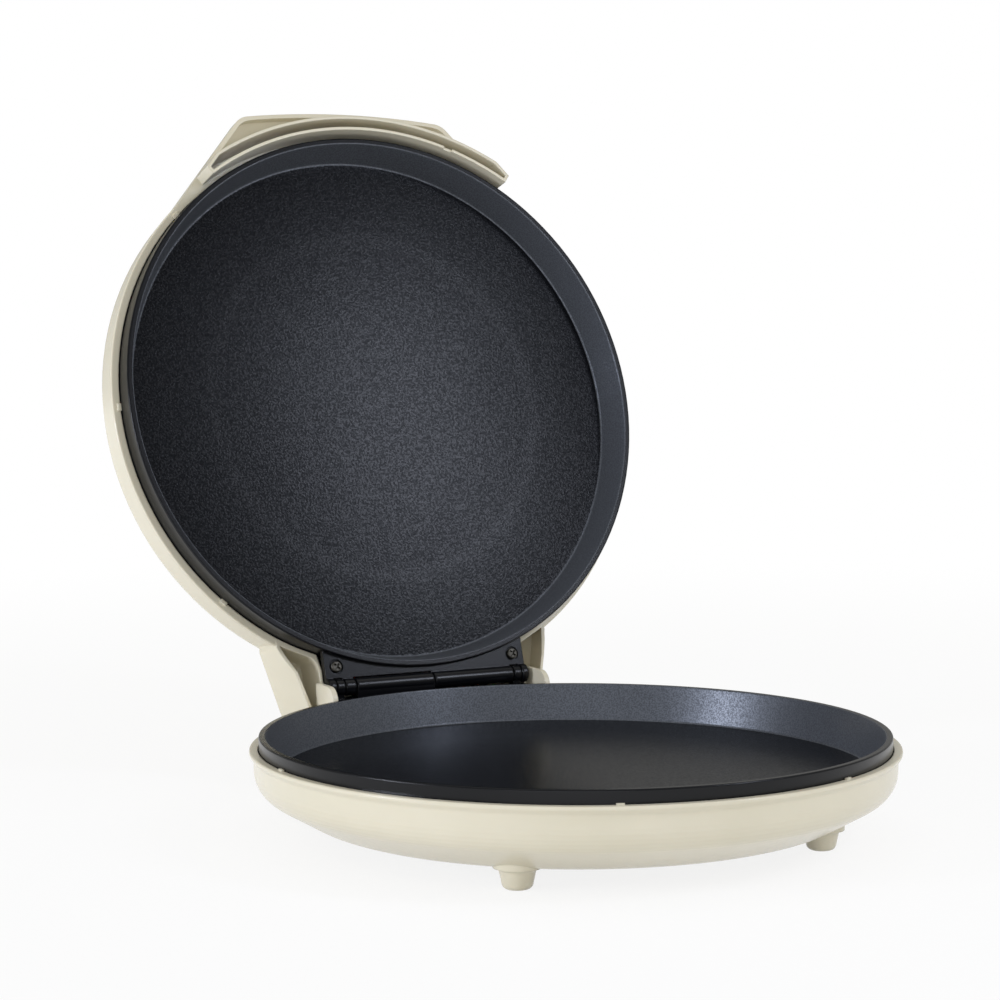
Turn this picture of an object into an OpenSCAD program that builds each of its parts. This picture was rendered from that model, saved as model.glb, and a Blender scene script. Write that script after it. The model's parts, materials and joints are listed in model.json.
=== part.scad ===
// Electric pizza maker for the worktop: a round base and a hinged lid, each with a cast non-stick plate
// heated from behind. It is drawn with the lid resting open. The origin lies on the table, in the middle
// of the outer box; X runs along the hinge, -Y is the front and +Z is up.

/* [Cooking plates] */
// Diameter of the flat cooking floor, which is the pizza's size
floor_d = 310; // [285:1:330]
// Depth of the lower floor below its rim
lower_depth = 20.5; // [16:0.5:23]
// Depth of the upper floor behind its rim
upper_depth = 20.5; // [17:0.1:21]
// How far a plate's sloped wall leans outwards
wall_lean = 5.5; // [5:0.5:8]
// Width of the rim on top of the wall
rim_w = 3.5; // [3.4:0.1:5]
// Thickness of the cast plates
plate_t = 3; // [2.5:0.1:3.2]
// Radius where a plate's floor meets its wall
floor_fillet = 1.2; // [0.6:0.1:3]
// Gap between the two rims when the lid is shut
rim_gap = 0.4; // [0.3:0.1:1]

/* [Housings] */
// Wall thickness of the moulded housings
shell_t = 2.2; // [1.8:0.1:2.6]
// Gap between a plate's rim and the housing around it
plate_gap = 0.5; // [0.4:0.1:1]
// Height of the lower plate's rim above the base flange
base_band = 6.8; // [5:0.1:8]
// Height of the upper plate's wall that stands out of the lid flange
lid_band = 14.6; // [13:0.1:16]
// Height of the bowl below the base flange
bowl_h = 36.9; // [35:0.1:44]
// Height of the lid's dome above its flange
dome_h = 39; // [37:1:46]
// How far the base flange stands out from the bowl
flange_lip = 2.2; // [1:0.1:3]
// Thickness of both flanges
flange_t = 2.4; // [2:0.1:3]
// Rise of the bowl's lower cone, in degrees
bowl_slope = 29.6; // [26:0.2:34]
// How much wider the lid's wall is than the base's
lid_bulge = 1.8; // [1:0.1:3]

/* [Feet] */
// Height of the front feet
foot_h = 10; // [8:0.5:14]
// Diameter of a foot where it leaves the bowl
foot_d = 18.5; // [16:0.5:22]
// Front feet, distance from the middle plane
foot_x = 86.8; // [75:0.1:95]
// Front feet, distance in front of the plate's axis
foot_y = 97.9; // [85:0.1:105]
// Rear feet, distance from the middle plane
rear_foot_x = 54; // [40:1:56]
// Rear feet, distance behind the plate's axis
rear_foot_y = 158; // [150:1:162]

/* [Hinge] */
// How far the hinge axis lies behind the rims
hinge_set = 8.5; // [8.2:0.1:10]
// Height of the hinge axis above the lower rim
hinge_up = 3.5; // [3:0.1:5]
// Angle from shut to where the lid rests open
open_angle = 107.3; // [95:0.1:108]
// Diameter of the hinge barrels
barrel_d = 9.5; // [9.2:0.1:10]
// Bore of the barrels for the lead
barrel_bore = 6; // [5.4:0.1:6.4]
// Diameter of the two hinge pins
pin_d = 5; // [4:0.1:5.4]
// Radial play of the pins in the lower knuckles
pin_play = 0.05; // [0.02:0.01:0.1]
// Width of the two hinge leaves
leaf_w = 129; // [120:1:131]
// Thickness of the hinge leaves
leaf_t = 4; // [3.6:0.1:4.4]
// Step from a plate's rim to its hinge leaf
leaf_drop = 3; // [2.6:0.1:3.4]
// Width of an outer lug
lug_w = 4.3; // [3.5:0.1:5]
// Diameter of an outer lug
lug_d = 10.8; // [10:0.1:11.2]
// Width of a lower knuckle
knuckle_w = 4.8; // [4:0.1:6]
// Width of the upper leaf's left boss
boss_w = 6.8; // [6:0.1:8]
// Gap between parts of the hinge that turn past each other
turn_gap = 0.4; // [0.3:0.05:0.6]
// Where the two long barrels meet, to the right of the middle
split_x = 2.3; // [-5:0.1:8]

/* [Heating] */
// Diameter of the tubular heating elements
tube_d = 6.6; // [6:0.1:8]
// Radius of the heating element's ring
ring_r = 108; // [100:1:112]
// Half of the gap between the ring's ends, in degrees
ring_gap = 12; // [11:1:16]
// Height of the plate's pillars, from its back to the heat shield
shield_h = 10; // [9.5:0.1:11]
// Thickness of the heat shields
shield_t = 0.8; // [0.6:0.1:1.2]
// Radius of the heat shields
shield_r = 130; // [118:1:144]
// Number of straps that hold each element
straps = 5; // [4:1:6]

/* [Handle] */
// How far the handle's brow reaches beyond the rims
brow_reach = 21.3; // [19:0.1:24]
// Half the width of the brow between its front corners
brow_half = 68; // [60:1:74]
// Outer radius of the skirt box beyond the rims
skirt_out = 12.7; // [12:0.1:13.4]
// How far the skirt box hangs below the lower rim plane
skirt_drop = 4; // [2:0.1:4.4]
// Half angle of the skirt box
skirt_half = 35.5; // [32:0.5:36]
// Wall thickness of the brow
brow_t = 2.5; // [2:0.1:3]

/* [Hidden] */
$fn = 96;
cream = "#e9e3d2";
coating = "#2b2d31";
steel = "#b9bbbd";
copper = "#8c8f92";

// Heights are measured from the lower plate's rim, and depths from a rim into its housing
floor_r = floor_d / 2;
rim_r = floor_r + wall_lean + rim_w;
rim_z = foot_h + bowl_h + base_band;
edge_r = 0.8;
skirt_t = 2.2;
lower_skirt = base_band + 3;
upper_skirt = lid_band + flange_t;
lower_back = lower_depth + plate_t;
upper_back = upper_depth + plate_t;

hinge_y = rim_r + hinge_set;
hinge_z = hinge_up;
barrel_r = barrel_d / 2;
swing_gap = turn_gap + 0.25;
leaf_back = hinge_y - barrel_r - swing_gap;
leaf_front = sqrt(pow(rim_r, 2) - pow(leaf_w / 2, 2)) - 2;
leaf_screw_x = leaf_w / 2 - 7.2;
leaf_screw_y = leaf_back - 6.7;

// The hinge, from its outer ends inwards
lug_in = leaf_w / 2 - lug_w;
knuckle_out = lug_in - turn_gap;
knuckle_in = knuckle_out - knuckle_w;
boss_out = knuckle_in - turn_gap;
boss_in = boss_out - boss_w;
barrel_end = boss_in - turn_gap;
duct_x = 36;
duct_w = 9;
duct_bend = 3;
lead_turn = 6;
base_run = 8;
lid_run = 14;
lead_d = 4.2;
pin_in = boss_in + 0.6;

inner_r = rim_r + plate_gap;
bowl_r = inner_r + shell_t;
flange_r = bowl_r + flange_lip;
lid_r = bowl_r + lid_bulge;
lid_flange_r = lid_r + 0.6;
flange_z = rim_gap + lid_band;
roof_z = flange_z + 23.5;
crown_z = flange_z + dome_h;

// Horns and hinge cover at the back of the lid; the open lid stops with stop_gap left behind the tower
stop_gap = 0.4;
horn_wall = 1.6;
horn_rim = hinge_up + 4;
cover_rim = hinge_up + 9.5;
horn_in = leaf_w / 2 + stop_gap;
horn_back = hinge_y + 12.7;
horn_wide = flange_z + 15;
horn_roof = flange_z + 18;
horn_fillet = 7;
horn_reach = 60;
cover_reach = 52;

// The tower behind the bowl, which holds the hinge and the cord's way in
ear_t = 2.9;
ear_in = horn_in + horn_wall + stop_gap;
tower_x = ear_in + ear_t;
tower_y = hinge_y + 4.5;
tower_floor = -38;
tower_front = 136;
ear_top = hinge_up + 3;
ear_front = hinge_y - 21;
leaf_seat = -leaf_drop - leaf_t;
ledge_in = leaf_w / 2 - 1.2;
barrel_web = barrel_d - 0.7;
knuckle_web = 5;

// The skirt box of the handle, as radii from the plate's axis
box_out = rim_r + skirt_out;
box_in = rim_r + 3.9;
box_t = 1.8;
box_roof = flange_z + 10;
box_cut_x = 92.3;
box_cut_y = -151.2;
notch_angle = 21;
brow_y = rim_r + brow_reach;
brow_r = 540;
brow_side = 50.4;
brow_corner_y = brow_y - pow(brow_half, 2) / (2 * brow_r);

pillar_r = ring_r - 20;
bead_r = ring_r / 2;
pillar_d = 12;
post_d = 10;
screw_d = 4;
pillar_angles = [60, 120, 240, 300];
strap_angles = [for (i = [0:straps - 1]) 270 + i * 300 / straps + (i * 300 / straps > 120 ? 60 : 0)];
strap_pad = 4;
strap_w = 10;
strap_t = 1.2;
strap_play = 0.2;
strap_reach = tube_d / 2 + 10;
strap_hole = tube_d / 2 + 6;
strap_screw_d = 3;
terminal_r = 134;
tube_bend = 12;
bend_draw = 0.2;
spade_l = 9;
leaf_screw_l = 16;
leaf_head_d = 6.6;
leaf_head_h = 2;
connector_w = 14;
block_gap = 0.8;
slot_half = duct_x + connector_w / 2 + 1.5;
slot_front = ring_r + 6;
fuse_y = 52;

head_d = 7;
head_h = 2.2;
head_sink = 2.6;
gland_x = 34;
gland_z = -21.5;
gland_d = 12;
lens_d = 7;
lens_y = -(rim_r + 4.2);
lens_z = flange_z + 16;
rib_in = shield_r + 4;
rib_angles = [for (i = [0:15]) let (a = (i + 0.5) * 22.5) if (abs(a - 90) > 20) a];

function unit(v) = v / norm(v);

// Points of a rounded corner b between a and c; each point is [x, y, radius]
function corner(a, b, c, steps) =
    b[2] == 0 ? [[b[0], b[1]]] :
    let (
        at = [b[0], b[1]],
        to_a = unit([a[0] - b[0], a[1] - b[1]]),
        to_c = unit([c[0] - b[0], c[1] - b[1]]),
        half = acos(to_a * to_c) / 2,
        centre = at + unit(to_a + to_c) * b[2] / sin(half),
        start = at + to_a * b[2] / tan(half) - centre,
        end = at + to_c * b[2] / tan(half) - centre,
        first = atan2(start[1], start[0]),
        turn = (atan2(end[1], end[0]) - first + 540) % 360 - 180
    )
    [for (k = [0:steps]) centre + b[2] * [cos(first + turn * k / steps), sin(first + turn * k / steps)]];

// Outline whose corners are rounded by their own radius
function rounded(p, steps = 5) =
    let (n = len(p))
    [for (i = [0:n - 1]) each corner(p[(i + n - 1) % n], p[i], p[(i + 1) % n], steps)];

// Profile of the lid's wall and crown, as radius, height and corner radius
dome_edge_r = lid_r - 12;
crown_r = 120;
crown_round = 60;
dome_line = rounded([
    [0, flange_z, 0],
    [lid_flange_r, flange_z, 0.8],
    [lid_flange_r, flange_z + flange_t, 0.8],
    [lid_r, flange_z + flange_t + 0.4, 0],
    [lid_r, flange_z + 22, 12],
    [dome_edge_r, crown_z - 6, 12],
    [crown_r, crown_z - 1.5, crown_round],
    [0, crown_z, 0]], 6);

// Back of the open lid, for the origin in the middle of the outer box
function opened_y(y, z) = hinge_y + cos(open_angle) * (y - hinge_y) + sin(open_angle) * (z - hinge_z);
back_y = max([for (p = dome_line) opened_y(-p[0], p[1])]);
middle_y = (back_y - flange_r) / 2;

module base_frame() {
    translate([0, -middle_y, rim_z]) children();
}

// The lid's parts are drawn shut, then swung open about the hinge
module lid_frame() {
    base_frame() translate([0, hinge_y, hinge_z]) rotate([-open_angle, 0, 0])
        translate([0, -hinge_y, -hinge_z]) children();
}

// Turns heights into depths below the lower rim
module below_rim() {
    base_frame() mirror([0, 0, 1]) children();
}

// Heights above the upper rim, which are depths into the lid
module above_rim() {
    lid_frame() translate([0, 0, rim_gap]) children();
}

module both_sides() {
    children();
    mirror([1, 0, 0]) children();
}

// A round bar along X with softened ends
module bar_x(from, to, r, soft = 0) {
    translate([from, hinge_y, hinge_z]) rotate([90, 0, 90])
        rotate_extrude() polygon(rounded([
            [0, 0, 0],
            [r, 0, soft],
            [r, to - from, soft],
            [0, to - from, 0]], 3));
}

// Cast bowl of a plate, with its sloped wall, rim and outer skirt
module plate_bowl(depth, skirt) {
    groove = depth * (skirt_t + plate_t - rim_w) / wall_lean;
    rotate_extrude() polygon(rounded([
        [0, depth, 0],
        [floor_r, depth, floor_fillet],
        [floor_r + wall_lean, 0, edge_r],
        [rim_r, 0, edge_r],
        [rim_r, skirt, 0.4],
        [rim_r - skirt_t, skirt, 0.4],
        [rim_r - skirt_t, groove, 0],
        [floor_r + plate_t * 0.8, depth + plate_t, 3],
        [0, depth + plate_t, 0]]));
}

// Raised pads for the straps and pillars for the shield, on the back of a plate
module plate_back(back) {
    for (a = pillar_angles) rotate(a) translate([pillar_r, 0, back - 0.5])
        cylinder(d = pillar_d, h = shield_h + 0.5);
    for (a = strap_angles) rotate(a)
        for (side = [-1, 1]) translate([ring_r + side * strap_hole, 0, back - 0.5])
            cylinder(d = 8, h = strap_pad + 0.5);
}

module plate_holes(back) {
    for (a = pillar_angles) rotate(a) translate([pillar_r, 0, back + 1])
        cylinder(d = screw_d, h = shield_h);
    for (a = strap_angles) rotate(a)
        for (side = [-1, 1]) translate([ring_r + side * strap_hole, 0, back])
            cylinder(d = strap_screw_d, h = strap_pad + 1);
}

// Flat of a hinge leaf beside the rim
module leaf(back) {
    difference() {
        translate([-leaf_w / 2, leaf_front, leaf_drop]) cube([leaf_w, back - leaf_front, leaf_t]);
        cylinder(r = rim_r - skirt_t / 2, h = 4 * leaf_t);
        for (side = [-1, 1]) translate([side * leaf_screw_x, leaf_screw_y, 0]) {
            cylinder(d = screw_d + 0.4, h = 4 * leaf_t);
            cylinder(d = 8.2, h = leaf_drop + 0.8);
        }
    }
}

// Foot that narrows downwards to the table, with a fillet against the floor above it and its root up to top
module foot(under, top) {
    tip = foot_d * 0.76;
    blend = 2.5;
    seat = rim_z + under + 0.3;
    translate([0, 0, -rim_z]) rotate_extrude() polygon(rounded([
        [0, 0, 0],
        [tip / 2, 0, 3],
        [foot_d / 2, seat, blend],
        [foot_d / 2 + blend, seat, 0],
        [foot_d / 2 + blend, rim_z + top, 0],
        [0, rim_z + top, 0]]));
}

bowl_floor = -base_band - bowl_h;
bowl_turn = -base_band - 19.5;
bowl_flat_r = bowl_r - (bowl_turn - bowl_floor) / tan(bowl_slope);
bowl_round = 15;

module bowl_outside() {
    rotate_extrude() polygon(rounded([
        [0, -base_band, 0],
        [flange_r, -base_band, 0.8],
        [flange_r, -base_band - flange_t * 0.7, 0.9],
        [bowl_r, -base_band - flange_t - flange_lip * 0.8, 1.5],
        [bowl_r - 0.3, bowl_turn, bowl_round],
        [bowl_flat_r, bowl_floor, 25],
        [0, bowl_floor, 0]], 6));
}

// Room inside the bowl; grow moves its wall outwards, so that ribs reach into the wall
module bowl_inside(grow = 0) {
    rotate_extrude() polygon(rounded([
        [0, 1, 0],
        [inner_r + grow, 1, 0],
        [inner_r - 0.3 + grow, bowl_turn + 1, bowl_round - shell_t],
        [bowl_flat_r - 1, bowl_floor + shell_t - grow, 20],
        [0, bowl_floor + shell_t - grow, 0]], 6));
}

// Block of the tower, rounded at the bottom and at its back corners; side narrows it
module tower_block(inset, side, top) {
    low = tower_floor + inset;
    back = tower_y - inset;
    half = tower_x - side;
    intersection() {
        translate([0, 0, low]) linear_extrude(top - low) polygon(rounded([
            [-half, tower_front, 0],
            [half, tower_front, 0],
            [half, back, side == 0 ? 4 : 1.5],
            [-half, back, side == 0 ? 4 : 1.5]]));
        rotate([90, 0, 90]) linear_extrude(2 * tower_x, center = true) polygon(rounded([
            [tower_front, top, 0],
            [tower_front, low, 0],
            [back, low, 8 - inset],
            [back, top, 0]]));
    }
}

// Side wall that stands up beside the hinge, rounded at its front top corner
module ear() {
    translate([ear_in, 0, 0]) rotate([90, 0, 90]) linear_extrude(ear_t) polygon(rounded([
        [ear_front, leaf_seat - 6, 0],
        [tower_y, leaf_seat - 6, 0],
        [tower_y, ear_top, 1.5],
        [ear_front, ear_top, 9]], 8));
}

// Ribs on the housing's wall that carry the plate's back
module seat_ribs(low, high) {
    for (a = rib_angles) rotate(a)
        translate([rib_in, -0.9, low]) cube([inner_r + 4 - rib_in, 1.8, high - low]);
}

module base_housing() {
    post_top = -lower_back - shield_h - shield_t;
    color(cream) base_frame() {
        difference() {
            union() {
                bowl_outside();
                tower_block(0, 0, leaf_seat);
                both_sides() ear();
                both_sides() {
                    translate([foot_x, -foot_y, 0]) foot(bowl_floor, bowl_turn);
                    translate([rear_foot_x, rear_foot_y, 0]) foot(tower_floor, tower_floor + 1);
                }
            }
            bowl_inside();
            // room in the tower, and its mouth under the hinge leaf
            tower_block(shell_t, ear_t, leaf_seat - shell_t);
            tower_block(shell_t, tower_x - ledge_in, 1);
            translate([gland_x, tower_y + 1, gland_z]) rotate([90, 0, 0])
                cylinder(d = gland_d, h = shell_t + 2);
            for (a = pillar_angles) rotate(a) translate([pillar_r, 0, bowl_floor - 1])
                cylinder(d = head_d + 1, h = head_sink + 1);
            for (a = pillar_angles) rotate(a) translate([pillar_r, 0, bowl_floor - 1])
                cylinder(d = screw_d, h = 8);
        }
        // posts for the case screws
        for (a = pillar_angles) rotate(a) translate([pillar_r, 0, 0]) difference() {
            translate([0, 0, bowl_floor + 0.6]) cylinder(d = post_d, h = post_top - bowl_floor - 0.6);
            translate([0, 0, bowl_floor - 1]) cylinder(d = screw_d, h = bowl_h);
            translate([0, 0, bowl_floor - 1]) cylinder(d = head_d + 1, h = head_sink + 1);
        }
        // posts under the hinge leaf
        both_sides() translate([leaf_screw_x, leaf_screw_y, tower_floor + 0.6]) difference() {
            cylinder(d = 9, h = leaf_seat - tower_floor - 0.6);
            translate([0, 0, 8]) cylinder(d = screw_d, h = 40);
        }
        intersection() {
            seat_ribs(bowl_floor, -lower_back);
            bowl_inside(0.4);
        }
        // nibs that centre the plate in the flange
        for (a = [0, 180, 247.5, 292.5]) rotate(a)
            translate([inner_r - 0.3, -2, -base_band - 2]) cube([1.4, 4, 2.8]);
    }
}

module lower_plate() {
    color(coating) union() {
        below_rim() difference() {
            union() {
                plate_bowl(lower_depth, lower_skirt);
                plate_back(lower_back);
                leaf(tower_y - 1);
            }
            plate_holes(lower_back);
            // way for the lead
            translate([-duct_x, hinge_y, 0]) cylinder(d = barrel_bore, h = 20);
        }
        base_frame() {
            difference() {
                union() {
                    bar_x(-barrel_end, split_x - turn_gap / 2, barrel_r, 1);
                    translate([-barrel_end, hinge_y - barrel_web / 2, -leaf_drop - 1])
                        cube([barrel_end + split_x - turn_gap / 2, barrel_web, hinge_z + leaf_drop + 1]);
                }
                lead_bore(-1);
            }
            both_sides() difference() {
                union() {
                    bar_x(knuckle_in, knuckle_out, barrel_r, 0.6);
                    translate([knuckle_in, hinge_y - knuckle_web / 2, -leaf_drop - 1])
                        cube([knuckle_w, knuckle_web, hinge_z + leaf_drop + 1]);
                }
                bar_x(knuckle_in - 1, knuckle_out + 1, pin_d / 2 + pin_play);
            }
        }
    }
}

// Bore for the lead: along the barrel from the split, then away through the duct
module lead_bore(side) {
    translate([min(split_x, side * (duct_x + barrel_bore / 2)), hinge_y, hinge_z]) rotate([0, 90, 0])
        cylinder(d = barrel_bore, h = abs(split_x - side * (duct_x + barrel_bore / 2)));
    translate([side * duct_x, hinge_y, hinge_z]) rotate([side > 0 ? 0 : 180, 0, 0])
        cylinder(d = barrel_bore, h = 30);
}

module upper_plate() {
    color(coating) union() {
        above_rim() difference() {
            union() {
                plate_bowl(upper_depth, upper_skirt);
                plate_back(upper_back);
                leaf(leaf_back);
                // tongues that hook behind the lid's flange at the front
                for (a = [250, 290]) rotate(a) tongue();
            }
            plate_holes(upper_back);
        }
        lid_frame() difference() {
            union() {
                both_sides() lug(lug_in, leaf_w / 2, lug_d / 2);
                lug(-boss_out, -boss_in, barrel_r);
                lug(split_x + turn_gap / 2, boss_out, barrel_r);
                translate([duct_x - duct_w / 2, hinge_y - duct_w / 2, hinge_z])
                    cube([duct_w, duct_w, cover_rim - 1 - hinge_z]);
            }
            lead_bore(1);
            both_sides() bar_x(pin_in, leaf_w / 2 + 1, pin_d / 2);
        }
    }
}

// Part of the upper leaf that reaches the hinge axis
module lug(from, to, r) {
    bar_x(from, to, r, 1);
    translate([from, leaf_back - 3, rim_gap + leaf_drop]) cube([to - from, hinge_y - leaf_back + 3, leaf_t]);
}

// Hook on the upper plate's skirt that rests on the lip of the lid's flange
module tongue() {
    hook_w = 12;
    hook_t = 2;
    translate([rim_r - skirt_t, -hook_w / 2, upper_skirt - hook_t]) cube([skirt_t - 0.4, hook_w, 2 * hook_t]);
    translate([rim_r - skirt_t, -hook_w / 2, upper_skirt + 0.1]) cube([skirt_t + 1.6, hook_w, hook_t]);
}

// Ring of an element, with its two ends turned outwards and a terminal on each
module element_ring() {
    tail = terminal_r - ring_r - tube_bend;
    rotate(90 + ring_gap) rotate_extrude(angle = 360 - 2 * ring_gap) translate([ring_r, 0])
        circle(d = tube_d, $fn = 48);
    // the tube draws a little thinner in its bends, which run a few degrees into the ring and the tail
    run_in = 5;
    both_sides() rotate(90 - ring_gap) {
        translate([ring_r + tube_bend, 0, 0]) rotate(90 - run_in) rotate_extrude(angle = 90 + 2 * run_in)
            translate([tube_bend, 0]) circle(d = tube_d - bend_draw, $fn = 48);
        translate([ring_r + tube_bend, tube_bend, 0]) rotate([0, 90, 0]) {
            cylinder(d = tube_d, h = tail);
            translate([0, 0, tail]) cylinder(d = tube_d - 1.6, h = 1.5);
            translate([0, 0, tail]) cylinder(d = 2.6, h = spade_l);
        }
    }
}

module element(back) {
    translate([0, 0, back + tube_d / 2]) element_ring();
}

module lower_element() {
    color(copper) below_rim() element(lower_back);
}

module upper_element() {
    color(copper) above_rim() element(upper_back);
}

// Straps bent over the element, one foot on each pad
module strap_set(back) {
    for (a = strap_angles) rotate(a) translate([ring_r, strap_w / 2, back]) rotate([90, 0, 0])
        difference() {
            linear_extrude(strap_w) difference() {
                union() {
                    translate([-strap_reach, strap_pad]) square([2 * strap_reach, strap_t]);
                    intersection() {
                        translate([0, tube_d / 2]) circle(d = tube_d + 2 * (strap_play + strap_t));
                        translate([-strap_reach, strap_pad]) square([2 * strap_reach, tube_d]);
                    }
                }
                translate([0, tube_d / 2]) circle(d = tube_d + 2 * strap_play);
            }
            for (side = [-1, 1]) translate([side * strap_hole, 0, strap_w / 2]) rotate([-90, 0, 0])
                cylinder(d = strap_screw_d, h = 3 * strap_pad);
        }
}

// Pan-head screws, head on the strap and shank in the plate's pad
module strap_screw_set(back) {
    for (a = strap_angles) rotate(a)
        for (side = [-1, 1]) translate([ring_r + side * strap_hole, 0, back + strap_pad + strap_t])
            screw(strap_screw_d, strap_pad + strap_t - 0.4, 5.6, 1.8);
}

// Cross-head screw: the head stands up from z = 0, and the shank goes down
module screw(d, length, head, head_h) {
    slot = head * 0.66;
    difference() {
        union() {
            rotate_extrude() polygon(rounded([[0, 0, 0], [head / 2, 0, 0.2], [head / 2, head_h, head_h * 0.5],
                [0, head_h, 0]], 4));
            translate([0, 0, -length]) cylinder(d = d, h = length + 0.1);
        }
        for (a = [45, 135]) rotate(a) translate([-slot / 2, -head * 0.09, head_h * 0.25])
            cube([slot, head * 0.18, head_h]);
    }
}

module lower_straps() {
    color(steel) below_rim() strap_set(lower_back);
}

module upper_straps() {
    color(steel) above_rim() strap_set(upper_back);
}

module lower_strap_screws() {
    color(steel) below_rim() strap_screw_set(lower_back);
}

module upper_strap_screws() {
    color(steel) above_rim() strap_screw_set(upper_back);
}

// Pressed sheet between element and housing, with a turned-up edge and a stiffening ring
module heat_shield(back) {
    bead = bead_r;
    window_d = 30;
    translate([0, 0, back + shield_h]) difference() {
        rotate_extrude() polygon([
            [0, 0], [bead - 4, 0], [bead, -1.6], [bead + 8, -1.6], [bead + 12, 0], [shield_r, 0],
            [shield_r, -4], [shield_r + shield_t, -4], [shield_r + shield_t, shield_t],
            [bead + 12, shield_t], [bead + 8, shield_t - 1.6], [bead, shield_t - 1.6],
            [bead - 4, shield_t], [0, shield_t]]);
        translate([0, 0, -5]) {
            cylinder(d = window_d, h = 10);
            for (a = pillar_angles) rotate(a) translate([pillar_r, 0, 0]) cylinder(d = screw_d, h = 10);
            // slot for the element's ends and the connector
            translate([-slot_half, slot_front, 0]) cube([2 * slot_half, shield_r, 10]);
        }
    }
}

module lower_heat_shield() {
    color(steel) below_rim() heat_shield(lower_back);
}

module upper_heat_shield() {
    color(steel) above_rim() heat_shield(upper_back);
}

// Screws from under the base, through post and shield, into the plate's pillars
module case_screws() {
    length = bowl_h + base_band - head_sink - lower_back - 2;
    color(steel) base_frame() for (a = pillar_angles) rotate(a)
        translate([pillar_r, 0, bowl_floor + head_sink]) mirror([0, 0, 1])
            screw(screw_d, length, head_d, head_h);
}

module upper_shield_screws() {
    color(steel) above_rim() for (a = pillar_angles) rotate(a)
        translate([pillar_r, 0, upper_back + shield_h + shield_t])
            screw(screw_d, shield_h - 1, head_d, head_h);
}

module lower_leaf_screws() {
    color(steel) base_frame() both_sides() translate([leaf_screw_x, leaf_screw_y, -leaf_drop - 0.8])
        screw(screw_d, leaf_screw_l, leaf_head_d, leaf_head_h);
}

module upper_leaf_screws() {
    color(steel) lid_frame() both_sides()
        translate([leaf_screw_x, leaf_screw_y, rim_gap + leaf_drop + 0.8]) mirror([0, 0, 1])
            screw(screw_d, leaf_screw_l, leaf_head_d, leaf_head_h);
}

module hinge_pins() {
    color(steel) lid_frame() both_sides() bar_x(pin_in, leaf_w / 2, pin_d / 2, 0.4);
}

// Disc thermostat on the back of the lower plate
module thermostat() {
    color("dimgray") below_rim() translate([0, 0, lower_back]) {
        translate([-13, -5, 0]) cube([26, 10, 1]);
        translate([0, 0, 0.5]) cylinder(d = 16, h = 7);
        for (side = [-1, 1]) translate([side * 5 - 3, 0, 5.2]) translate([0, -15, 0]) cube([6, 30, 0.8]);
    }
}

module thermal_fuse() {
    color("gainsboro") below_rim() translate([0, fuse_y, lower_back]) {
        translate([-9, 0, 2.6]) rotate([0, 90, 0]) cylinder(d = 4, h = 18);
        translate([-14, 0, 2.6]) rotate([0, 90, 0]) cylinder(d = 1, h = 28);
        translate([-4, -5, 0]) cube([8, 10, 1.4]);
    }
}

// Block on the tower's floor where the supply meets the inner wiring
module terminal_block() {
    pole = 12;
    deep = 14;
    floor_z = tower_floor + shell_t;
    high = -lower_back - block_gap - floor_z;
    color("ivory") base_frame()
        translate([-duct_x - pole / 2, hinge_y - lead_turn - base_run - deep, floor_z]) difference() {
            cube([3 * pole, deep, high]);
            for (i = [0:2]) translate([(i + 0.5) * pole, deep / 2, 3]) cylinder(d = 5, h = high);
            for (i = [0:2]) translate([(i + 0.5) * pole, -1, high / 2]) rotate([-90, 0, 0])
                cylinder(d = 3, h = i == 0 ? 4 : deep + 2);
        }
}

// Bush in the tower's back wall, which is the cord's way in
module cord_gland() {
    flange = gland_d + 5;
    color("#2a2a2a") base_frame() translate([gland_x, tower_y, gland_z]) rotate([90, 0, 0]) difference() {
        union() {
            translate([0, 0, -2]) cylinder(d = flange, h = 2);
            cylinder(d = gland_d, h = shell_t);
            translate([0, 0, shell_t]) cylinder(d = gland_d + 3, h = 2);
        }
        translate([0, 0, -3]) cylinder(d = 8, h = 12);
    }
}

// Lead in its sleeve: along the barrel, round the bend into the duct, then towards the front
module lead(side, rise, run) {
    start = side * (duct_x - duct_bend);
    turn = lead_turn;
    translate([min(start, split_x + side * turn_gap / 2), hinge_y, hinge_z]) rotate([0, 90, 0])
        cylinder(d = lead_d, h = abs(start - split_x - side * turn_gap / 2), $fn = 48);
    translate([0, hinge_y, hinge_z]) mirror([side > 0 ? 0 : 1, 0, 0]) mirror([0, 0, side > 0 ? 0 : 1]) {
        translate([duct_x - duct_bend, 0, duct_bend]) rotate([90, 0, 0]) rotate(-90)
            rotate_extrude(angle = 90) translate([duct_bend, 0]) circle(d = lead_d, $fn = 48);
        translate([duct_x, 0, duct_bend]) cylinder(d = lead_d, h = rise - duct_bend, $fn = 48);
        translate([duct_x, -turn, rise]) rotate([90, 0, 90]) rotate_extrude(angle = 90)
            translate([turn, 0]) circle(d = lead_d, $fn = 48);
        translate([duct_x, -turn, rise + turn]) rotate([90, 0, 0]) cylinder(d = lead_d, h = run, $fn = 48);
    }
}

module base_lead() {
    color("linen") base_frame() lead(-1, 26, base_run);
}

module lid_lead() {
    color("linen") lid_frame() lead(1, 22, lid_run);
}

// Ceramic connector on the upper plate's back, where the lead ends
module lid_connector() {
    size = [connector_w, 16, 13];
    color("ivory") lid_frame()
        translate([duct_x - size[0] / 2, hinge_y - lead_turn - lid_run - size[1], upper_back + rim_gap])
            cube(size);
}

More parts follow.
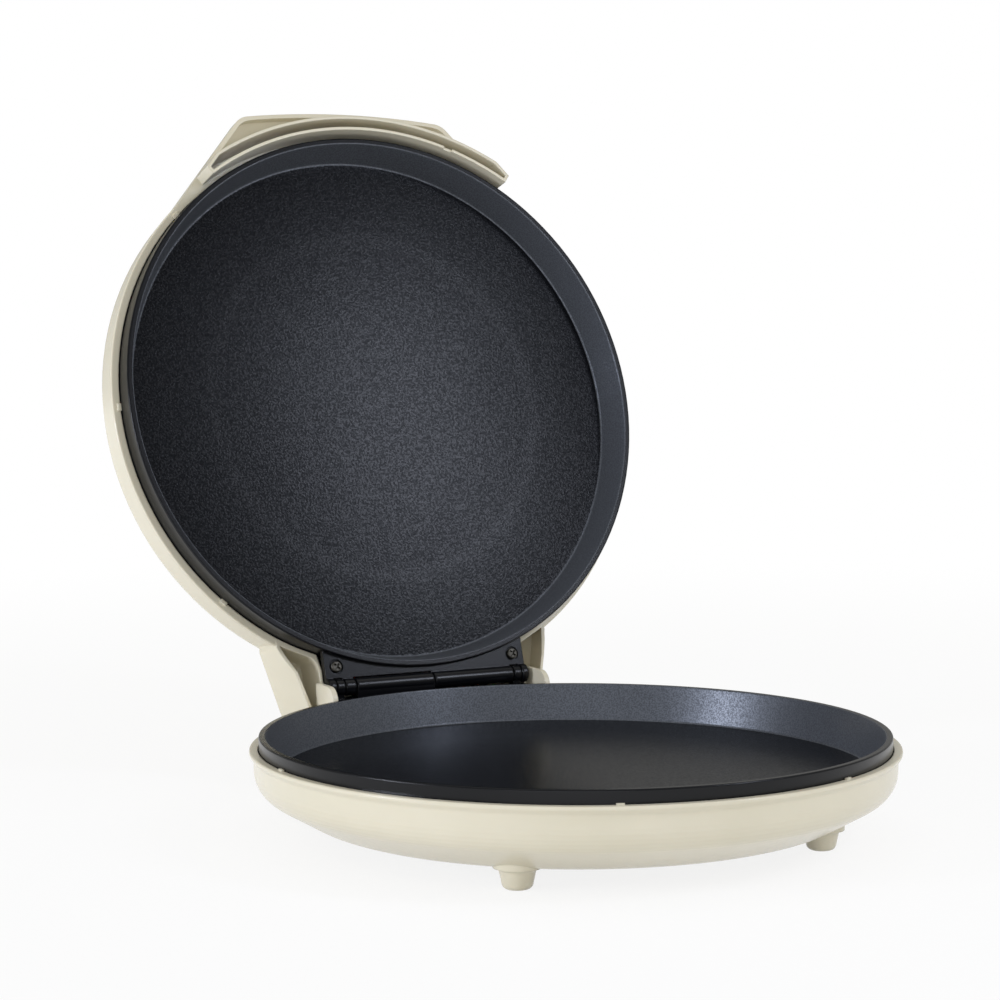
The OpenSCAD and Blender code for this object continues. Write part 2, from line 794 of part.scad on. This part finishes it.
module dome_inside(grow = 0) {
    rotate_extrude() polygon(rounded([
        [0, flange_z - 5, 0],
        [inner_r, flange_z - 5, 0],
        [inner_r, flange_z + flange_t, 0],
        [lid_r - shell_t + grow, flange_z + flange_t, 0],
        [lid_r - shell_t + grow, flange_z + 21, 10],
        [dome_edge_r - 1 + grow, crown_z - 6 - shell_t + grow, 11],
        [crown_r - 1, crown_z - 1.5 - shell_t + grow, crown_round - 2],
        [0, crown_z - shell_t + grow, 0]], 6));
}

// Outline of a horn, from the flange's edge to the back; lean moves its outer side, at most by 1
function horn_outline(lean, back) = [
    [horn_in, hinge_y - 32],
    [horn_in, back],
    [horn_in + 9.7 + 8.6 * lean, back],
    [horn_in + 12.7 + 8.6 * lean, hinge_y - 2.5],
    [horn_in + 16.9 + 8 * lean, hinge_y - 16.5],
    [horn_in + 21.1 + 6.5 * lean, hinge_y - 27.5],
    [horn_in + 19 + 6.5 * lean, hinge_y - 46]];

// Horn that narrows towards the mating side and towards its roof
module horn() {
    hull() {
        slab(horn_rim, 0, 0, horn_back);
        slab(horn_wide, 0, 1, horn_back);
        slab(roof_z - 0.1, 0, 0.3, horn_back - 4);
    }
}

// Room in a horn, outside the lid's wall; the corner beside that wall is rounded
module horn_pocket() {
    intersection() {
        hull() {
            slab(horn_rim - 0.1, horn_wall, 0, horn_back);
            slab(horn_roof, horn_wall, 0.75, horn_back - 0.5);
        }
        linear_extrude(crown_z) offset(r = horn_fillet, $fn = 48) offset(delta = -horn_fillet) difference() {
            translate([horn_in + horn_wall, tower_front]) square([rim_r, rim_r]);
            circle(r = lid_r - 0.7);
        }
    }
}

module slab(z, inset, lean, back) {
    translate([0, 0, z]) linear_extrude(0.1) offset(delta = -inset) polygon(horn_outline(lean, back));
}

// What is cut from the horns so that their rim slopes down from the flange
module horn_slope() {
    rotate([90, 0, 90]) linear_extrude(2 * rim_r, center = true) polygon(rounded([
        [hinge_y - horn_reach, horn_rim - 1, 0],
        [hinge_y - 11, horn_rim - 1, 0],
        [hinge_y - 11, horn_rim, 0],
        [hinge_y - 27.5, flange_z, 32],
        [hinge_y - horn_reach, flange_z, 0]], 8));
}

// Room that the base's tower and ears take up beside and behind the open lid's hinge
module stop_room() {
    translate([0, hinge_y, hinge_z]) rotate([open_angle, 0, 0]) translate([0, -hinge_y, -hinge_z]) {
        half = tower_x + stop_gap;
        back = tower_y + stop_gap;
        translate([-half, tower_front, tower_floor])
            cube([2 * half, back - tower_front, leaf_seat + stop_gap - tower_floor]);
        both_sides() translate([ear_in - stop_gap, ear_front, tower_floor])
            cube([ear_t + 2 * stop_gap, back - ear_front, ear_top + stop_gap - tower_floor]);
    }
}

// Cover behind the hinge, between the horns
module hinge_cover(inset, low) {
    roof = roof_z - inset;
    back = horn_back - inset;
    half = horn_in + horn_wall - inset;
    front = hinge_y - cover_reach;
    translate([-half, 0, 0]) rotate([90, 0, 90]) linear_extrude(2 * half) polygon([
        [front, low], [back, low], [back, horn_wide], [back - 4, roof], [front, roof]]);
}

// Outline of the brow: a shallow arc in front and straight sides that run to the flange
function brow_outline(inset) =
    let (
        side_len = 92,
        step = (brow_half - 12) / 5,
        arc = [for (k = [-5:5]) [k * step, -brow_y + inset + pow(k * step, 2) / (2 * brow_r)]],
        right = [brow_half - inset * 0.6, -brow_corner_y + inset],
        far = right + side_len * [cos(brow_side), sin(brow_side)],
        bend = corner([arc[10][0], arc[10][1]], [right[0], right[1], 12], far, 5)
    )
    concat([[-far[0], far[1]]], [for (i = [5:-1:0]) [-bend[i][0], bend[i][1]]], arc, bend, [far]);

module brow(inset, low, roof) {
    edge = 9;
    slope = 14;
    hull() {
        translate([0, 0, low]) linear_extrude(edge - inset) polygon(brow_outline(inset));
        translate([0, 0, roof - 0.1]) linear_extrude(0.1) polygon(brow_outline(slope + inset));
    }
}

// Sector of a ring under the handle
module ring_sector(r_in, r_out, low, high, half) {
    translate([0, 0, low]) rotate(270 - half) rotate_extrude(angle = 2 * half)
        translate([r_in, 0]) square([r_out - r_in, high - low]);
}

// Skirt box under the handle, whose outer corners are cut off along the brow's sides
module skirt_box(inset, low, high) {
    difference() {
        ring_sector(box_in + inset, box_out - inset, low, high, skirt_half - inset * 0.35);
        both_sides() translate([box_cut_x, box_cut_y, low - 1]) rotate(brow_side)
            translate([-brow_half, -brow_half + inset, 0]) cube([2 * brow_half, brow_half, high - low + 2]);
    }
}

module lid_housing() {
    color(cream) lid_frame() {
        difference() {
            union() {
                rotate_extrude() polygon(dome_line);
                difference() {
                    both_sides() horn();
                    horn_slope();
                }
                hinge_cover(0, cover_rim);
                brow(0, flange_z, flange_z + 22);
                skirt_box(0, -skirt_drop, flange_z + 1);
            }
            dome_inside();
            hinge_cover(shell_t, cover_rim - 5);
            stop_room();
            both_sides() horn_pocket();
            // pockets of the handle, in front of the skirt box and inside it
            difference() {
                brow(brow_t, flange_z - 1, flange_z + 19);
                cylinder(r = box_out, h = crown_z);
            }
            skirt_box(box_t, -skirt_drop - 1, box_roof);
            // notch in the inner wall of the skirt box
            rotate(270 + notch_angle) translate([box_in - 1, -2.8, -skirt_drop - 1])
                cube([box_t + 2, 5.6, 2.6]);
            translate([0, lens_y, box_roof + 2]) cylinder(d = lens_d, h = crown_z);
        }
        // posts for the hinge leaf's screws
        both_sides() translate([leaf_screw_x, leaf_screw_y, rim_gap + leaf_drop + leaf_t]) difference() {
            cylinder(d = 9, h = roof_z - rim_gap - leaf_drop - leaf_t - 1);
            translate([0, 0, -1]) cylinder(d = screw_d, h = 14);
        }
        intersection() {
            seat_ribs(upper_back + rim_gap, crown_z);
            dome_inside(0.4);
        }
        // nibs that centre the plate in the flange
        for (a = [0, 45, 135, 180, 225, 315]) rotate(a)
            translate([inner_r - 0.35, -2.2, flange_z - 1.2]) cube([2, 4.4, 2]);
    }
}

module indicator_lens() {
    color("#a8402c") lid_frame() translate([0, lens_y, lens_z])
        rotate_extrude() polygon(rounded([[0, 0, 0], [lens_d / 2, 0, 0], [lens_d / 2, 7, 1], [0, 8, 0]], 4));
}

module indicator_lamp() {
    color("#e0a070") lid_frame() translate([0, lens_y, lens_z - 4]) cylinder(d = 5, h = 4);
}

base_housing();
lower_plate();
lower_element();
lower_straps();
lower_strap_screws();
lower_heat_shield();
thermostat();
thermal_fuse();
terminal_block();
cord_gland();
case_screws();
lower_leaf_screws();
base_lead();
lid_housing();
upper_plate();
upper_element();
upper_straps();
upper_strap_screws();
upper_heat_shield();
upper_shield_screws();
upper_leaf_screws();
hinge_pins();
lid_lead();
lid_connector();
indicator_lens();
indicator_lamp();
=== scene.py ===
# Electric pizza maker, dressed for its photograph: moulded cream housings around two cast non-stick plates.
# Everything is in metres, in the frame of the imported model.
import json
import math

import bpy
from mathutils import Matrix, Vector


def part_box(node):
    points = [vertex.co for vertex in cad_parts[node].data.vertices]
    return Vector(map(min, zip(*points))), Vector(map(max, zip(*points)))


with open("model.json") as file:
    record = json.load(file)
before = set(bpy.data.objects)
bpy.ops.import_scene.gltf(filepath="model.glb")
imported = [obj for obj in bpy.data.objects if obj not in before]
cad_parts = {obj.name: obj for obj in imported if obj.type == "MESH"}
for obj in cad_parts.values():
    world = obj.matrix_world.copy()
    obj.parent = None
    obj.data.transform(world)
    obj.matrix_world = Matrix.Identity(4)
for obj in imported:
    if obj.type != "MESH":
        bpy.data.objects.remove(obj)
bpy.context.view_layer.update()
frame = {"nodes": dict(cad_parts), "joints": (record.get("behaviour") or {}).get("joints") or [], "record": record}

MM = 0.001
nodes = frame["nodes"]

# The open lid's own directions, from the hinge's range. LID_IN goes from the rim to the back, and LID_UP
# from the hinge to the brow.
hinge = frame["joints"][0]
HINGE_AT = Vector(hinge["pos_m"])
OPEN = math.radians(hinge["range_deg"][1])
LID_IN = Vector((0, math.sin(OPEN), math.cos(OPEN)))
LID_UP = Vector((0, -math.cos(OPEN), math.sin(OPEN)))

# The radius of the plates' rims, and a point on each plate's axis
plate_low, plate_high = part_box("lower_plate")
RIM_RADIUS = (plate_high.x - plate_low.x) / 2
LOWER_AXIS = Vector((0, plate_low.y + RIM_RADIUS, 0))
UPPER_AXIS = HINGE_AT + LID_UP * (HINGE_AT.y - LOWER_AXIS.y)

# Spans that hold most of a noise texture's values, from which a finish takes its contrast
TIGHT = (0.35, 0.65)
WIDE = (0.3, 0.7)

# Sockets of a Mix node for colours: how far, from which colour, to which colour, and the result
HOW_FAR, FROM, TO, MIXED = 0, 6, 7, 2


def colour(code):
    """An sRGB hex colour as the linear RGBA that a socket takes."""
    parts = [int(code[i:i + 2], 16) / 255 for i in (1, 3, 5)]
    return [p / 12.92 if p <= 0.04045 else ((p + 0.055) / 1.055) ** 2.4 for p in parts] + [1.0]


def per(size_mm):
    """Texture scale for a pattern whose cells are size_mm apart."""
    return 1 / (size_mm * MM)


def add(tree, kind, inputs=(), **settings):
    """Adds a shader node and returns its outputs. Inputs are constants or other nodes' outputs, given in
    the order of the node's sockets or by their names."""
    made = tree.nodes.new("ShaderNode" + kind)
    for name, value in settings.items():
        setattr(made, name, value)
    pairs = inputs.items() if isinstance(inputs, dict) else enumerate(inputs)
    for socket, value in pairs:
        if isinstance(value, bpy.types.NodeSocket):
            tree.links.new(value, made.inputs[socket])
        else:
            made.inputs[socket].default_value = value
    return made.outputs


def material(name):
    """An empty material, its tree, and the coordinates that ride with the piece."""
    made = bpy.data.materials.new(name)
    made.use_nodes = True
    tree = made.node_tree
    tree.nodes.clear()
    return made, tree, add(tree, "TexCoord")


def shade(tree, pattern, span, dark, light):
    """Colour that goes from dark to light, two hex colours, as the pattern's value crosses the span."""
    along = add(tree, "MapRange", (pattern, *span, 0, 1))["Result"]
    mixed = add(tree, "Mix", {HOW_FAR: along, FROM: colour(dark), TO: colour(light)}, data_type="RGBA")
    return mixed[MIXED]


# Polypropylene, injection-moulded in a polished tool. The skin is glossy and warm ivory, reflections wobble
# a little where the wall shrank, and its edges are softened by a radius that catches the light.
def moulded_cream():
    made, tree, place = material("moulded_cream_polypropylene")
    here = place["Object"]
    shrink = add(tree, "TexNoise",
                 {"Vector": here, "Scale": per(38), "Detail": 1.0, "Roughness": 0.4})["Fac"]
    skin = add(tree, "TexNoise",
               {"Vector": here, "Scale": per(2.6), "Detail": 2.0, "Roughness": 0.5})["Fac"]
    cloud = add(tree, "TexNoise",
                {"Vector": here, "Scale": per(55), "Detail": 3.0, "Roughness": 0.55})["Fac"]
    edge = add(tree, "Bevel", {"Radius": 1.1 * MM}, samples=6)["Normal"]
    wave = add(tree, "Bump", {"Strength": 0.12, "Distance": 0.9 * MM, "Height": shrink, "Normal": edge})
    fine = add(tree, "Bump",
               {"Strength": 0.05, "Distance": 0.05 * MM, "Height": skin, "Normal": wave["Normal"]})
    shader = add(tree, "BsdfPrincipled", {
        "Base Color": shade(tree, cloud, TIGHT, "#ddd6c0", "#e1dac5"),
        "Roughness": add(tree, "MapRange", (skin, *WIDE, 0.2, 0.26))["Result"],
        "IOR": 1.49,
        "Subsurface Weight": 0.06,
        "Subsurface Radius": (2 * MM, 1.4 * MM, 0.9 * MM),
        "Subsurface Scale": 1.0,
        "Normal": fine["Normal"]})
    add(tree, "OutputMaterial", {"Surface": shader["BSDF"]})
    return made


# Cosines to the plate's axis between which a face turns from sloped to flat
FLAT_FACE = (0.97, 0.995)
# Where the coat changes on the rim, measured inwards from its outer edge, and how soft that limit is
RIM_STEP = 3 * MM
RIM_BLUR = 0.4 * MM
# The faint glossier ring that heat leaves on a floor near the element: its radius, and how far to either
# side it starts to fade and has faded
RING_RADIUS = 106 * MM
RING_FADE = (1 * MM, 7 * MM)
# Spans of the two noises that hold the sprayed grains, the tops of these grains and the tops of the pebbles
GRAINS = (0.38, 0.62)
GRAIN_TOPS = (0.42, 0.62)
PEBBLE_TOPS = (0.42, 0.6)


# Cast aluminium under sprayed and baked PTFE, nearly black and satin. The floor was cast against a textured
# tool, and the clear top coat glints on its pebbles. On the turned inner walls mica flakes show through:
# they are blue-grey and spread the highlights. The skirt and leaf have an even top coat. Pebbles and spray
# are drawn coarser than real ones, which would be too fine to show.
def non_stick(name, facing, on_axis):
    made, tree, place = material(name)
    here = place["Object"]
    along = add(tree, "VectorMath", (place["Normal"], facing), operation="DOT_PRODUCT")["Value"]
    cosine = add(tree, "Math", (along,), operation="ABSOLUTE")["Value"]
    flat = add(tree, "MapRange", (cosine, *FLAT_FACE, 0, 1))["Result"]
    offset = add(tree, "VectorMath", (here, tuple(on_axis)), operation="SUBTRACT")["Vector"]
    sideways = add(tree, "VectorMath", (offset, facing), operation="CROSS_PRODUCT")["Vector"]
    radius = add(tree, "VectorMath", (sideways,), operation="LENGTH")["Value"]
    rim_from = RIM_RADIUS - RIM_STEP - RIM_BLUR
    rim_to = RIM_RADIUS - RIM_STEP + RIM_BLUR
    inside = add(tree, "MapRange", (radius, rim_from, rim_to, 1, 0))["Result"]
    floor = add(tree, "Math", (flat, inside), operation="MULTIPLY")["Value"]
    wall = add(tree, "Math", (inside, floor), operation="SUBTRACT", use_clamp=True)["Value"]

    # Relief: pebbles on the floor alone, sprayed grain everywhere
    pebble = add(tree, "TexNoise",
                 {"Vector": here, "Scale": per(1.2), "Detail": 1.5, "Roughness": 0.5})["Fac"]
    spray = add(tree, "TexNoise",
                {"Vector": here, "Scale": per(0.8), "Detail": 1.0, "Roughness": 0.5})["Fac"]
    edge = add(tree, "Bevel", {"Radius": 0.6 * MM}, samples=6)["Normal"]
    cast = add(tree, "Math", (pebble, floor), operation="MULTIPLY")["Value"]
    rough = add(tree, "Bump", {"Strength": 0.6, "Distance": 0.1 * MM, "Height": cast, "Normal": edge})
    fine = add(tree, "Bump",
               {"Strength": 0.3, "Distance": 0.08 * MM, "Height": spray, "Normal": rough["Normal"]})

    # Colour: specks of spray on flat faces, flakes of mica on the walls
    dusting = add(tree, "MapRange", (spray, *GRAIN_TOPS, 0, 0.3))["Result"]
    speck = add(tree, "Math", (dusting, flat), operation="MULTIPLY")["Value"]
    paint = add(tree, "Mix", {HOW_FAR: speck, FROM: colour("#0b0c10"), TO: colour("#171b21")},
                data_type="RGBA")[MIXED]
    share = add(tree, "MapRange", (spray, *GRAINS, 0.38, 0.62))["Result"]
    flakes = add(tree, "Math", (wall, share), operation="MULTIPLY")["Value"]
    base = add(tree, "Mix", {HOW_FAR: flakes, FROM: paint, TO: colour("#868b94")}, data_type="RGBA")[MIXED]
    smooth = add(tree, "MapRange", (flat, 0, 1, 0.28, 0.24))["Result"]
    satin = add(tree, "Math", (wall, 0.1, smooth), operation="MULTIPLY_ADD")["Value"]

    # Top coat: even outside, on the floor's peaks and its ring, and thin on the walls
    even = add(tree, "MapRange", (inside, 0, 1, 0.45, 0))["Result"]
    past_ring = add(tree, "Math", (radius, RING_RADIUS), operation="SUBTRACT")["Value"]
    off_ring = add(tree, "Math", (past_ring,), operation="ABSOLUTE")["Value"]
    ring = add(tree, "MapRange", (off_ring, *RING_FADE, 0.05, 0))["Result"]
    peaks = add(tree, "MapRange", (pebble, *PEBBLE_TOPS, 0.02, 0.26))["Result"]
    glints = add(tree, "Math", (peaks, ring), operation="ADD")["Value"]
    outside_and_floor = add(tree, "Math", (floor, glints, even), operation="MULTIPLY_ADD")["Value"]
    film = add(tree, "MapRange", (spray, *GRAINS, 0, 0.3))["Result"]
    coat = add(tree, "Math", (wall, film, outside_and_floor), operation="MULTIPLY_ADD")["Value"]
    shader = add(tree, "BsdfPrincipled", {
        "Base Color": base,
        "Metallic": flakes,
        "Roughness": satin,
        "IOR": 1.35,
        "Specular IOR Level": 0.12,
        "Coat Weight": coat,
        "Coat Roughness": 0.25,
        "Coat IOR": 1.5,
        "Coat Normal": fine["Normal"],
        "Normal": fine["Normal"]})
    add(tree, "OutputMaterial", {"Surface": shader["BSDF"]})
    return made


# Nickel-plated steel, cold-headed: dull warm grey with fine tool marks.
def nickel_steel():
    made, tree, place = material("nickel_plated_steel")
    here = place["Object"]
    marks = add(tree, "TexNoise",
                {"Vector": here, "Scale": per(0.6), "Detail": 3.0, "Roughness": 0.6})["Fac"]
    edge = add(tree, "Bevel", {"Radius": 0.25 * MM}, samples=4)["Normal"]
    bump = add(tree, "Bump", {"Strength": 0.2, "Distance": 0.04 * MM, "Height": marks, "Normal": edge})
    shader = add(tree, "BsdfPrincipled", {
        "Base Color": shade(tree, marks, TIGHT, "#45433e", "#6d6a62"),
        "Metallic": 1.0,
        "Roughness": add(tree, "MapRange", (marks, *WIDE, 0.34, 0.5))["Result"],
        "Normal": bump["Normal"]})
    add(tree, "OutputMaterial", {"Surface": shader["BSDF"]})
    return made


# Zinc-plated sheet, blanked and pressed: pale metal with a soft crystal pattern.
def zinc_sheet():
    made, tree, place = material("zinc_plated_sheet")
    grain = add(tree, "TexVoronoi", {"Vector": place["Object"], "Scale": per(6)})["Distance"]
    haze = add(tree, "TexNoise", {"Vector": place["Object"], "Scale": per(20), "Detail": 4.0})["Fac"]
    shader = add(tree, "BsdfPrincipled", {
        "Base Color": shade(tree, grain, (0, 0.8), "#aeb2b4", "#c6cacc"),
        "Metallic": 1.0,
        "Roughness": add(tree, "MapRange", (haze, *WIDE, 0.3, 0.45))["Result"]})
    add(tree, "OutputMaterial", {"Surface": shader["BSDF"]})
    return made


# Tubular element: annealed steel sheath with an oxide skin from the heat, dull and slightly brown.
def element_sheath():
    made, tree, place = material("annealed_steel_sheath")
    here = place["Object"]
    oxide = add(tree, "TexNoise",
                {"Vector": here, "Scale": per(9), "Detail": 5.0, "Roughness": 0.6})["Fac"]
    bump = add(tree, "Bump", {"Strength": 0.2, "Distance": 0.05 * MM, "Height": oxide})
    shader = add(tree, "BsdfPrincipled", {
        "Base Color": shade(tree, oxide, (0.35, 0.7), "#6f6a63", "#8d857a"),
        "Metallic": 1.0,
        "Roughness": add(tree, "MapRange", (oxide, *WIDE, 0.42, 0.58))["Result"],
        "Normal": bump["Normal"]})
    add(tree, "OutputMaterial", {"Surface": shader["BSDF"]})
    return made


# Steatite ceramic, pressed and fired without glaze: chalky off-white with fine pores.
def steatite():
    made, tree, place = material("unglazed_steatite")
    here = place["Object"]
    pores = add(tree, "TexNoise",
                {"Vector": here, "Scale": per(0.8), "Detail": 4.0, "Roughness": 0.7})["Fac"]
    bump = add(tree, "Bump", {"Strength": 0.3, "Distance": 0.06 * MM, "Height": pores})
    shader = add(tree, "BsdfPrincipled", {
        "Base Color": shade(tree, pores, TIGHT, "#d8d2c4", "#e9e4d8"),
        "Roughness": 0.72,
        "IOR": 1.6,
        "Normal": bump["Normal"]})
    add(tree, "OutputMaterial", {"Surface": shader["BSDF"]})
    return made


# Silicone-rubber sleeve over glass braid: off-white and satin, with the braid showing through as fine
# cells.
def silicone_sleeve():
    made, tree, place = material("silicone_sleeve")
    braid = add(tree, "TexVoronoi", {"Vector": place["Object"], "Scale": per(0.9)})["Distance"]
    bump = add(tree, "Bump", {"Strength": 0.3, "Distance": 0.1 * MM, "Height": braid})
    shader = add(tree, "BsdfPrincipled", {
        "Base Color": shade(tree, braid, (0.1, 0.7), "#cfc9ba", "#e4dfd2"),
        "Roughness": 0.5,
        "IOR": 1.41,
        "Normal": bump["Normal"]})
    add(tree, "OutputMaterial", {"Surface": shader["BSDF"]})
    return made


# Phenolic moulding filled with mica: dark brown, hard and slightly mottled.
def phenolic():
    made, tree, place = material("moulded_phenolic")
    here = place["Object"]
    mottle = add(tree, "TexNoise",
                 {"Vector": here, "Scale": per(3), "Detail": 4.0, "Roughness": 0.6})["Fac"]
    shader = add(tree, "BsdfPrincipled", {
        "Base Color": shade(tree, mottle, TIGHT, "#241d18", "#3a3029"),
        "Roughness": add(tree, "MapRange", (mottle, *WIDE, 0.35, 0.5))["Result"],
        "IOR": 1.6})
    add(tree, "OutputMaterial", {"Surface": shader["BSDF"]})
    return made


# Nylon, moulded in a spark-eroded tool: black with a fine even satin texture.
def black_nylon():
    made, tree, place = material("spark_textured_nylon")
    here = place["Object"]
    spark = add(tree, "TexNoise",
                {"Vector": here, "Scale": per(0.5), "Detail": 2.0, "Roughness": 0.6})["Fac"]
    bump = add(tree, "Bump", {"Strength": 0.4, "Distance": 0.05 * MM, "Height": spark})
    shader = add(tree, "BsdfPrincipled", {
        "Base Color": shade(tree, spark, TIGHT, "#141414", "#222222"),
        "Roughness": 0.5,
        "IOR": 1.53,
        "Normal": bump["Normal"]})
    add(tree, "OutputMaterial", {"Surface": shader["BSDF"]})
    return made


# Drawn aluminium can of the fuse: pale, with drawing lines along it, 30 mm long and 0.3 mm wide.
def drawn_aluminium():
    made, tree, place = material("drawn_aluminium")
    squeeze = (per(30), per(0.3), per(0.3))
    squeezed = add(tree, "Mapping", {"Vector": place["Object"], "Scale": squeeze})["Vector"]
    lines = add(tree, "TexNoise", {"Vector": squeezed, "Scale": 1.0, "Detail": 2.0})["Fac"]
    shader = add(tree, "BsdfPrincipled", {
        "Base Color": shade(tree, lines, TIGHT, "#b9bbbc", "#d4d6d7"),
        "Metallic": 1.0,
        "Roughness": add(tree, "MapRange", (lines, *WIDE, 0.25, 0.4))["Result"]})
    add(tree, "OutputMaterial", {"Surface": shader["BSDF"]})
    return made


# Polycarbonate lens, dyed amber-red and polished: clear enough to let part of the light through.
def dyed_lens():
    made, tree, place = material("dyed_polycarbonate")
    streak = add(tree, "TexNoise", {"Vector": place["Object"], "Scale": per(3), "Detail": 1.0})["Fac"]
    shader = add(tree, "BsdfPrincipled", {
        "Base Color": shade(tree, streak, WIDE, "#8e2416", "#b4361f"),
        "Roughness": 0.12,
        "IOR": 1.58,
        "Transmission Weight": 0.35})
    add(tree, "OutputMaterial", {"Surface": shader["BSDF"]})
    return made


# Neon lamp: a clear glass bulb with a faint orange gas colour.
def lamp_glass():
    made, tree, place = material("soda_glass_bulb")
    draw = add(tree, "TexNoise", {"Vector": place["Object"], "Scale": per(2), "Detail": 1.0})["Fac"]
    shader = add(tree, "BsdfPrincipled", {
        "Base Color": shade(tree, draw, WIDE, "#e3a27c", "#f0c6a6"),
        "Roughness": 0.05,
        "IOR": 1.52,
        "Transmission Weight": 0.7})
    add(tree, "OutputMaterial", {"Surface": shader["BSDF"]})
    return made


UP = (0, 0, 1)
FINISHES = {
    "cream_plastic": moulded_cream(),
    "screw_steel": nickel_steel(),
    "sheet_steel": zinc_sheet(),
    "element_sheath": element_sheath(),
    "ceramic": steatite(),
    "silicone_sleeve": silicone_sleeve(),
    "phenolic": phenolic(),
    "black_plastic": black_nylon(),
    "fuse_case": drawn_aluminium(),
    "red_lens": dyed_lens(),
    "lamp_glass": lamp_glass(),
}
PLATES = {
    "lower_plate": non_stick("lower_non_stick", UP, LOWER_AXIS),
    "upper_plate": non_stick("upper_non_stick", tuple(LID_IN), UPPER_AXIS),
}
for part in frame["record"]["subparts"]:
    target = nodes[part["node"]]
    target.data.materials.clear()
    target.data.materials.append(PLATES.get(part["node"]) or FINISHES[part["material_slot"]])


# The photograph's viewpoint: low, from the front left, with a long lens
CAMERA_AT = Vector((-0.60161, -1.12654, 0.25899))
CAMERA_LOOK = Vector((0.46658, 0.88169, -0.07012))
CAMERA_UP = Vector((0.03646, 0.06004, 0.99753))
LENS_MM = 84.61
SENSOR_MM = 36
camera_data = bpy.data.cameras.new("camera")
camera_data.lens = LENS_MM
camera_data.sensor_width = SENSOR_MM
camera = bpy.data.objects.new("camera", camera_data)
bpy.context.scene.collection.objects.link(camera)
camera_right = CAMERA_LOOK.cross(CAMERA_UP).normalized()
camera_top = camera_right.cross(CAMERA_LOOK).normalized()
turn = Matrix((camera_right, camera_top, -CAMERA_LOOK.normalized())).transposed().to_4x4()
camera.matrix_world = Matrix.Translation(CAMERA_AT) @ turn
bpy.context.scene.camera = camera


# Softboxes, each aimed at a point near the middle of the object
AIM = Vector((0, 0.02, 0.16))


def softbox(name, toward, distance, size, watts, tone):
    """An oblong area lamp that looks at the object from a direction."""
    data = bpy.data.lights.new(name, "AREA")
    data.shape = "RECTANGLE"
    data.size, data.size_y = size
    data.energy = watts
    data.color = colour(tone)[:3]
    lamp = bpy.data.objects.new(name, data)
    bpy.context.scene.collection.objects.link(lamp)
    direction = Vector(toward).normalized()
    lamp.location = AIM + direction * distance
    lamp.rotation_euler = (-direction).to_track_quat("-Z", "Y").to_euler()


# Gives the left flanks and the lid's right inner wall their highlights
softbox("left_softbox", toward=(-0.985, 0.03, 0.17), distance=2.0,
        size=(0.42, 0.28), watts=15.5, tone="#e9efff")
# Lifts the front of the bowl and the brow
softbox("front_left_fill", toward=(-0.5, -0.8, 0.06), distance=2.2,
        size=(1.6, 0.5), watts=6, tone="#f1f5ff")
# Glints on the lid's floor and the lower plate's rear wall
softbox("front_right_strip", toward=(0.48, -0.70, 0.53), distance=1.2,
        size=(0.15, 0.4), watts=3.3, tone="#e6edff")
# Lights what faces up
softbox("top_fill", toward=(0.1, 0.1, 1.0), distance=2.0,
        size=(1.6, 1.6), watts=3.5, tone="#fffdf8")

# White room: an even glow on the object, a dimmer one in its gloss, and plain white where the camera looks
# into the room, straight or through glass
GLOW = 0.61
GLOW_IN_GLOSS = 0.32
PLAIN_WHITE = (1, 1, 1, 1)
world = bpy.data.worlds.new("white_room")
world.use_nodes = True
sky = world.node_tree
sky.nodes.clear()
path = add(sky, "LightPath")
looked_at = add(sky, "Math", (path["Is Camera Ray"], path["Is Transmission Ray"]),
                operation="MAXIMUM")["Value"]
glow = add(sky, "Background", {"Color": colour("#fffefa"), "Strength": GLOW})["Background"]
dim = add(sky, "Background", {"Color": colour("#fffefa"), "Strength": GLOW_IN_GLOSS})["Background"]
white = add(sky, "Background", {"Color": PLAIN_WHITE, "Strength": 1.0})["Background"]
on_object = add(sky, "MixShader", (path["Is Glossy Ray"], glow, dim))["Shader"]
room = add(sky, "MixShader", (looked_at, on_object, white))["Shader"]
add(sky, "OutputWorld", {"Surface": room})
bpy.context.scene.world = world


# Matt white paper on the tabletop. It keeps a soft shadow near the object and fades into the white room, by
# a glow that the camera and gloss see and that grows with the distance from the object.
def tabletop_paper():
    fade_from, fade_to = 0.3, 1.5
    glow_near, glow_far = 0.85, 1.0
    made, tree, place = material("matt_white_paper")
    path = add(tree, "LightPath")
    seen = add(tree, "Math", (path["Is Camera Ray"], path["Is Glossy Ray"]), operation="MAXIMUM")["Value"]
    away = add(tree, "VectorMath", (place["Object"],), operation="LENGTH")["Value"]
    lifted = add(tree, "MapRange", (away, fade_from, fade_to, glow_near, glow_far),
                 interpolation_type="SMOOTHSTEP")["Result"]
    share = add(tree, "Math", (seen, lifted), operation="MULTIPLY")["Value"]
    fibre = add(tree, "TexNoise", {"Vector": place["Object"], "Scale": per(4), "Detail": 3.0})["Fac"]
    tone = shade(tree, fibre, (0, 1), "#f4f4f3", "#fafafa")
    matt = add(tree, "BsdfDiffuse", {"Color": tone})["BSDF"]
    lift = add(tree, "Emission", {"Color": PLAIN_WHITE, "Strength": 1.0})["Emission"]
    blend = add(tree, "MixShader", (share, matt, lift))["Shader"]
    add(tree, "OutputMaterial", {"Surface": blend})
    return made


FLOOR_HALF = 12.0
floor_mesh = bpy.data.meshes.new("floor")
corners = [(x * FLOOR_HALF, y * FLOOR_HALF, 0) for x, y in ((-1, -1), (1, -1), (1, 1), (-1, 1))]
floor_mesh.from_pydata(corners, [], [(0, 1, 2, 3)])
floor_mesh.materials.append(tabletop_paper())
floor = bpy.data.objects.new("floor", floor_mesh)
bpy.context.scene.collection.objects.link(floor)

bpy.context.scene.view_settings.view_transform = "Standard"
